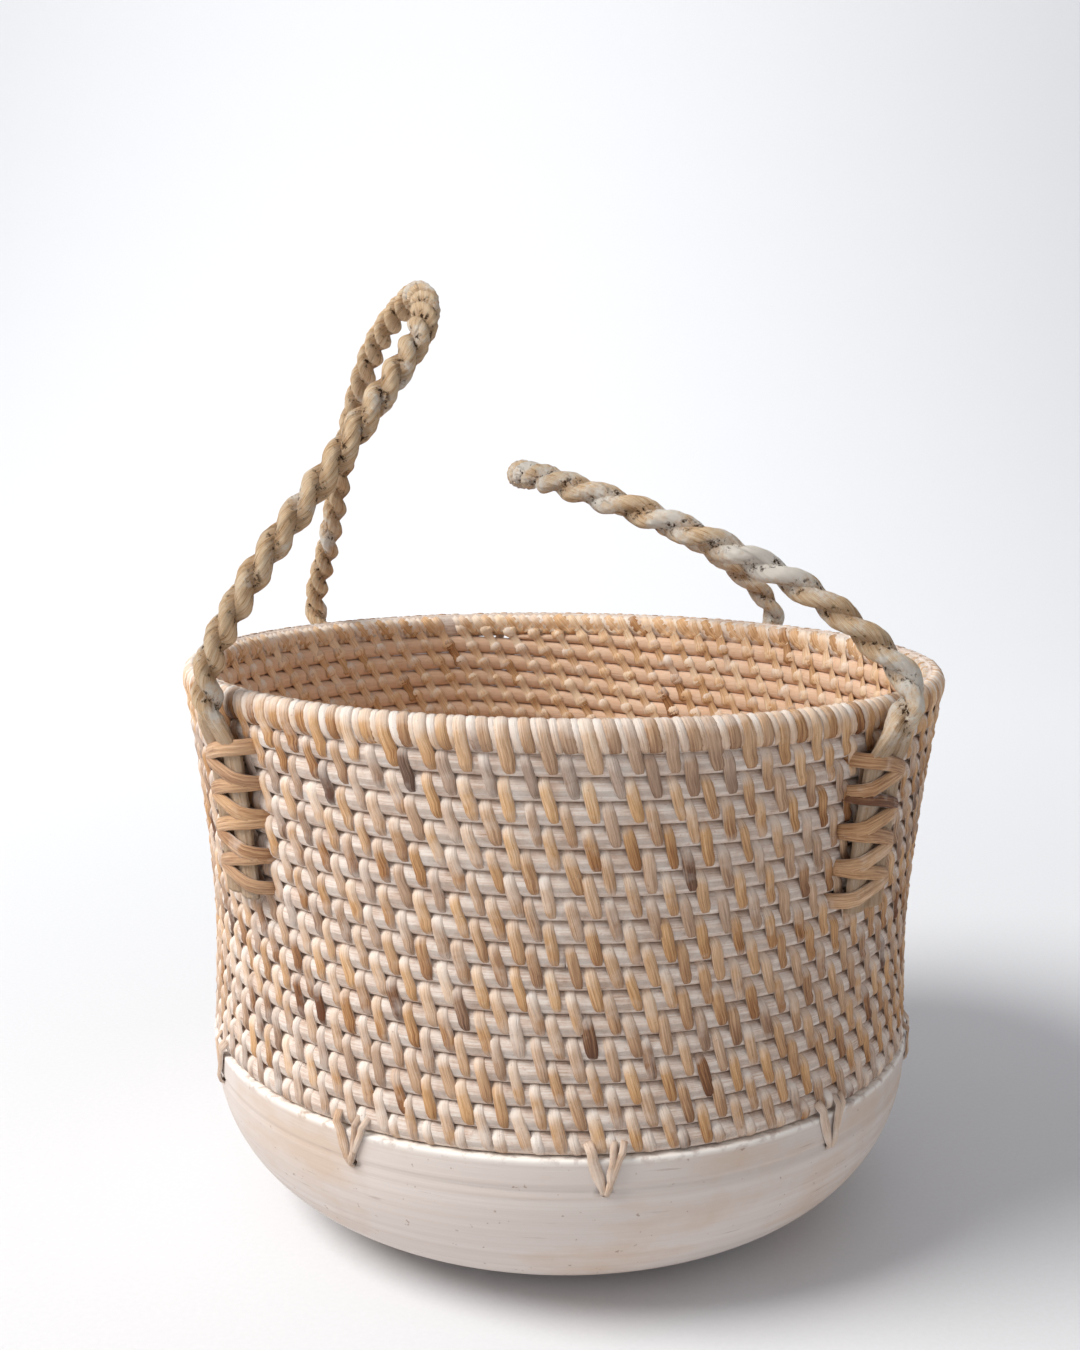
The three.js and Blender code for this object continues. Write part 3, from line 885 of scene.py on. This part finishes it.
def rope_route(exits, route):
    """The handle's middle line between its exits, in metres."""
    front, back = (ring(EXIT_RADIUS, math.radians(azimuth), HINGE_HEIGHT) for azimuth in exits)
    middle, half_span = (front + back) / 2, (back - front) / 2
    inward = unit(np.cross(half_span, UP))
    if inward @ middle > 0:
        inward = -inward
    return centripetal_curve(
        [middle + along * half_span + inward * inn * MM + UP * up * MM for along, inn, up in route]
    )


def resample(points, step):
    lengths = np.concatenate([[0], np.cumsum(np.linalg.norm(np.diff(points, axis=0), axis=1))])
    places = np.linspace(0, lengths[-1], int(lengths[-1] / step) + 1)
    return np.stack([np.interp(places, lengths, points[:, k]) for k in range(3)], -1), places


def end_route(azimuth):
    """The rope's way down the outside of the wall below an exit, from its exit to its tip."""
    heights = np.linspace(HINGE_HEIGHT - 2 * MM, END_BOTTOM, 30)
    lies_flat = np.clip((HINGE_HEIGHT - heights) / (HINGE_HEIGHT - END_TOP + 4 * MM), 0, 1)
    against = wall_radius(heights) + 0.6 * MM + END_THICKNESS / 2
    radius = EXIT_RADIUS * (1 - lies_flat) + against * lies_flat
    return ring(radius, math.radians(azimuth), heights)


def carried_frames(line, tangents, first, last):
    """Directions beside and out from a line. They face out from the basket up to the point first
    and from the point last on, and turn smoothly and as little as they can between."""
    outward = unit(line * [1, 1, 0])
    side = unit(np.cross(tangents, outward))
    out = np.cross(side, tangents)
    for i in range(first + 1, last + 1):
        carried = out[i - 1] - tangents[i] * (out[i - 1] @ tangents[i])
        out[i] = carried / np.linalg.norm(carried)
    side[first : last + 1] = np.cross(tangents, out)[first : last + 1]
    wanted = unit(np.cross(tangents[last], outward[last]))
    miss = math.atan2(np.cross(side[last], wanted) @ tangents[last], side[last] @ wanted)
    turn = np.zeros(len(line))
    turn[first : last + 1] = miss * np.linspace(0, 1, last - first + 1)
    turn[last + 1 :] = 0
    cos, sin = np.cos(turn)[:, None], np.sin(turn)[:, None]
    return side * cos + np.cross(tangents, side) * sin, out * cos + np.cross(tangents, out) * sin


def rope_layout(exits, route, lay):
    """The whole rope's middle line with the distances along it, the directions beside and out
    from it, how far its strands are twisted together at each point, from 0 on the wall to 1 over
    the exits, and how many turns they have made."""
    ends = [end_route(azimuth) for azimuth in exits]
    loop = rope_route(exits, route)
    line, places = resample(np.concatenate([ends[0][::-1], loop[1:-1], ends[1]]), 1.2 * MM)
    tangents = unit(np.gradient(line, axis=0))
    low, high = END_TOP - 1 * MM, HINGE_HEIGHT + 4 * MM
    share = np.clip((line[:, 2] - low) / (high - low), 0, 1)
    twisted = share * share * (3 - 2 * share)
    free = np.flatnonzero(share > 0.6)
    first, last = free[0], free[-1]
    beside, out = carried_frames(line, tangents, first, last)

    round_trip = places[last] - places[first]
    turns = round(round_trip / lay) * np.clip((places - places[first]) / round_trip, 0, 1)
    return line, places, beside, out, twisted, turns


def handle(side, exits, route):
    """Two strands, each one piece from its bound end on the wall, round the loop, to its other
    bound end. They twist together above the exits and lie flattened side by side below them."""
    line, places, beside, out, twisted, turns = rope_layout(exits, route, ROPE_LAY[side])
    around = np.linspace(0, 2 * math.pi, 32, endpoint=False)
    reach = ROPE_RADIUS - STRAND_RADIUS
    for strand in (1, 2):
        angle = math.pi * strand + 2 * math.pi * turns
        apart = reach * twisted + 0.25 * END_WIDTH * (1 - twisted)
        centres = line + beside * (apart * np.cos(angle))[:, None]
        centres = centres + out * (reach * twisted * np.sin(angle))[:, None]
        wide = STRAND_RADIUS * twisted + 0.26 * END_WIDTH * (1 - twisted)
        thick = STRAND_RADIUS * twisted + 0.44 * END_THICKNESS * (1 - twisted)
        seed = 31 * strand + len(side)
        lump = 1 + 0.05 * smooth_noise(places * 190, seed) + 0.03 * smooth_noise(places * 900, seed)
        ridges = 1 + 0.04 * np.cos(9 * around) + 0.03 * np.cos(14 * around + strand)
        facing = around[None, :] - (reach / STRAND_RADIUS * 2 * math.pi * turns)[:, None]
        section = np.stack([np.cos(facing), np.sin(facing)], -1)[None] * ridges[None, None, :, None]
        groove = np.clip(1 - 1.6 * np.cos(facing - angle[:, None]), 0, 1) * twisted[:, None]
        wash = 0.1 * smooth_noise(places * 60, strand) + (0.1 * twisted if side == "right" else 0.03)
        piece = swept(
            f"rope_{side}_strand_{strand}",
            centres[None],
            (beside * (wide * lump)[:, None])[None],
            (out * (thick * lump)[:, None])[None],
            section,
            {"wash": wash[None], "groove": groove[None], "bound": 1 - twisted[None]},
            ROPE,
        )
        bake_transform(piece)
        if strand == 1:
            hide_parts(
                f"handle_{side}", f"rope_end_{side}_front", f"rope_end_{side}_back"
            )


# ---- Lashings and ties -------------------------------------------------------------------------


def laid_strips(name, centres, outs, widths, looks):
    """Strips of cane laid along paths. outs point away from what they bind."""
    fixed = np.ones(centres.shape[:2])
    return cane(
        name,
        centres,
        outs,
        looks["width"][:, None] * widths,
        looks["thickness"][:, None] * fixed,
        {key: looks[key][:, None] * fixed for key in ("tone", "grey", "wash")},
    )


# A lashing's leg, from the hole in the wall beside the rope end to the fold round its far edge:
# how far across as a share of half the rope end's width, and how proud of the wall.
LEG = [
    (-1.34, -4.0),
    (-1.24, 0.6),
    (-1.08, 4.8),
    (-0.84, 7.4),
    (-0.4, 8.1),
    (0.0, 8.2),
    (0.4, 8.0),
    (0.82, 7.2),
    (1.04, 5.0),
    (1.12, 2.6),
    (1.02, 0.8),
]


def lashing(side, place, azimuth):
    """Cane that binds a rope end in a zigzag: each strip comes out of a hole in the wall, crosses
    the rope end, folds round its far edge, and goes back into the next hole."""
    centre = math.radians(azimuth)
    towards_front = -1 if math.cos(centre) > 0 else 1
    far = -towards_front if math.sin(centre) < 0 else towards_front
    top, bottom = END_TOP - 1 * MM, END_BOTTOM + 4 * MM
    drop = (top - bottom) / LASH_LEGS
    across, proud = np.array(LEG).T
    along = (across - across[0]) / (across.max() - across[0])
    centres, signs = [], []
    for i in range(LASH_LEGS):
        outbound = i % 2 == 0
        bow = 1.2 * MM * np.sin(math.pi * along)
        height = top - drop * (i + (along if outbound else 1 - along)) + bow
        height = height + RANDOM.normal(0, 0.5 * MM)
        lateral = far * across * END_WIDTH / 2
        radius = wall_radius(height) + proud * MM
        points = ring(radius, centre + lateral / radius, height)
        centres.append(points if outbound else points[::-1])
        signs.append(far if outbound else -far)
    looks = stitch_looks(LASH_LEGS, tone=0.42, wash=0.0, width=1.35 * CANE_WIDTH)
    looks["grey"] *= 0.7
    centres = np.stack(centres)
    outs = np.cross(np.gradient(centres, axis=1), UP) * np.array(signs)[:, None, None]
    piece = laid_strips(f"binding_{side}_{place}", centres, outs, np.ones(len(LEG)), looks)
    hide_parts(f"lashing_{side}_{place}")


# A tie's leg, from the hole up to the lowest row: how far up as a share of the way to that row's
# middle, and how proud of the bowl or the wall.
TIE_LEG = [(-0.12, -3.0), (-0.02, -0.2), (0.12, 0.5), (0.4, 0.3), (0.72, 0.5), (0.92, 1.2), (1.1, -1.5)]


def bowl_tie(number, azimuth):
    """Frayed strips of cane from the hole up into the lowest row: one on the left, and two that
    twist about each other on the right."""
    hole = BOWL_TOP - TIE_HOLE_DROP
    share, proud = np.array(TIE_LEG).T
    height = hole + share * (TIE_HOLE_DROP + ROW_PITCH / 2)
    base = np.where(height < BOWL_TOP, BOWL_RADIUS, wall_radius(height))
    spread = TIE_SPREAD / 2 * RANDOM.uniform(0.6, 1.05)
    centres = []
    for lean, twist in ((-1, 0.0), (0.55, 1.0), (1.0, -1.0)):
        wave = np.sin(np.linspace(0, 1.5 * math.pi, len(share)))
        lateral = lean * (0.9 * MM + share.clip(0) * spread) + twist * 0.7 * MM * wave
        lateral = lateral + RANDOM.normal(0, 0.25 * MM, len(share))
        radius = base + proud * MM + abs(twist) * 0.4 * MM * (1 + wave)
        centres.append(ring(radius, azimuth + lateral / radius, height))
    looks = stitch_looks(len(centres), tone=0.6, wash=0.4, width=1.1 * CANE_WIDTH)
    looks["width"][1:] *= 0.7
    centres = np.stack(centres)
    tangents = unit(np.gradient(centres, axis=1))
    outs = unit(centres * [1, 1, 0])
    outs = unit(outs - tangents * np.sum(outs * tangents, -1, keepdims=True))
    widths = np.interp(share, [0, 0.4, 1], [0.5, 1, 0.8])
    piece = laid_strips(f"tie_{number:02d}", centres, outs, widths, looks)
    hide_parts(f"bowl_tie_{number:02d}")


# ---- Stage, light and camera -------------------------------------------------------------------


def stage():
    """A pale seamless sweep: a floor that curves up into a far wall."""
    half = 6.0
    depth, bend, wall = 1.7, 2.6, 4.0
    angles = np.linspace(0, math.pi / 2, 13)
    curve_y = depth + bend * np.sin(angles)
    curve_z = bend * (1 - np.cos(angles))
    outline_y = np.concatenate([[-half], curve_y, [depth + bend]])
    outline_z = np.concatenate([[0.0], curve_z, [wall]])
    vertices = [(x, y, z) for x in (-half, half) for y, z in zip(outline_y, outline_z)]
    count = len(outline_y)
    faces = [[i, i + 1, count + i + 1, count + i] for i in range(count - 1)]
    uv = np.zeros((len(vertices), 2))
    floor = mesh_object("floor", vertices, faces, {}, uv, floor_material())
    floor.data.flip_normals()


def area_light(name, place, target, size, power, colour):
    """A round light at a place, facing a target."""
    light = bpy.data.lights.new(name, "AREA")
    light.shape = "DISK"
    light.size = size
    light.energy = power
    light.color = colour
    lamp = bpy.data.objects.new(name, light)
    lamp.location = place
    forward = unit(np.subtract(target, place))
    right = unit(np.cross(forward, UP))
    upward = np.cross(right, forward)
    axes = Matrix([right, upward, -forward]).transposed()
    lamp.rotation_euler = axes.to_euler()
    bpy.context.scene.collection.objects.link(lamp)


def lights():
    """Soft daylight from the left, with a pale room around and a lit backdrop."""
    world = bpy.data.worlds.new("room")
    world.use_nodes = True
    background = world.node_tree.nodes["Background"]
    background.inputs["Color"].default_value = (*srgb(246, 247, 252), 1)
    background.inputs["Strength"].default_value = 0.44
    bpy.context.scene.world = world
    area_light(
        "window",
        place=(-2.7, -1.1, 3.2),
        target=(0, 0, 0.15),
        size=2.2,
        power=178,
        colour=(1.0, 0.99, 0.97),
    )
    area_light(
        "backdrop_light",
        place=(-0.3, 1.3, 2.5),
        target=(0.3, 4.2, 1.2),
        size=1.6,
        power=38,
        colour=(0.99, 0.993, 1.0),
    )


def camera():
    """A close view from the front, a little above the rim, tilted slightly down."""
    place = (-0.0114, -0.7344, 0.3752)
    pitch, roll = math.radians(8.87), math.radians(0.45)
    forward = np.array([0, math.cos(pitch), -math.sin(pitch)])
    level_up = np.array([0, math.sin(pitch), math.cos(pitch)])
    level_right = np.array([1.0, 0, 0])
    right = math.cos(roll) * level_right + math.sin(roll) * level_up
    upward = math.cos(roll) * level_up - math.sin(roll) * level_right
    data = bpy.data.cameras.new("camera")
    data.sensor_width = 36
    data.lens = 38.64
    data.clip_start = 0.01
    eye = bpy.data.objects.new("camera", data)
    rotation = Matrix([right, upward, -forward]).transposed().to_4x4()
    eye.matrix_world = Matrix.Translation(place) @ rotation
    bpy.context.scene.collection.objects.link(eye)
    bpy.context.scene.camera = eye


bpy.context.scene.view_settings.view_transform = "Standard"
bowl()
coil_cores()
sewing()
rim()
for side, exits, route in (("left", LEFT_EXITS, LEFT_ROUTE), ("right", RIGHT_EXITS, RIGHT_ROUTE)):
    handle(side, exits, route)
    lashing(side, "front", exits[0])
    lashing(side, "back", exits[1])
for number, azimuth in enumerate(tie_azimuths(), 1):
    bowl_tie(number, azimuth)
stage()
lights()
camera()
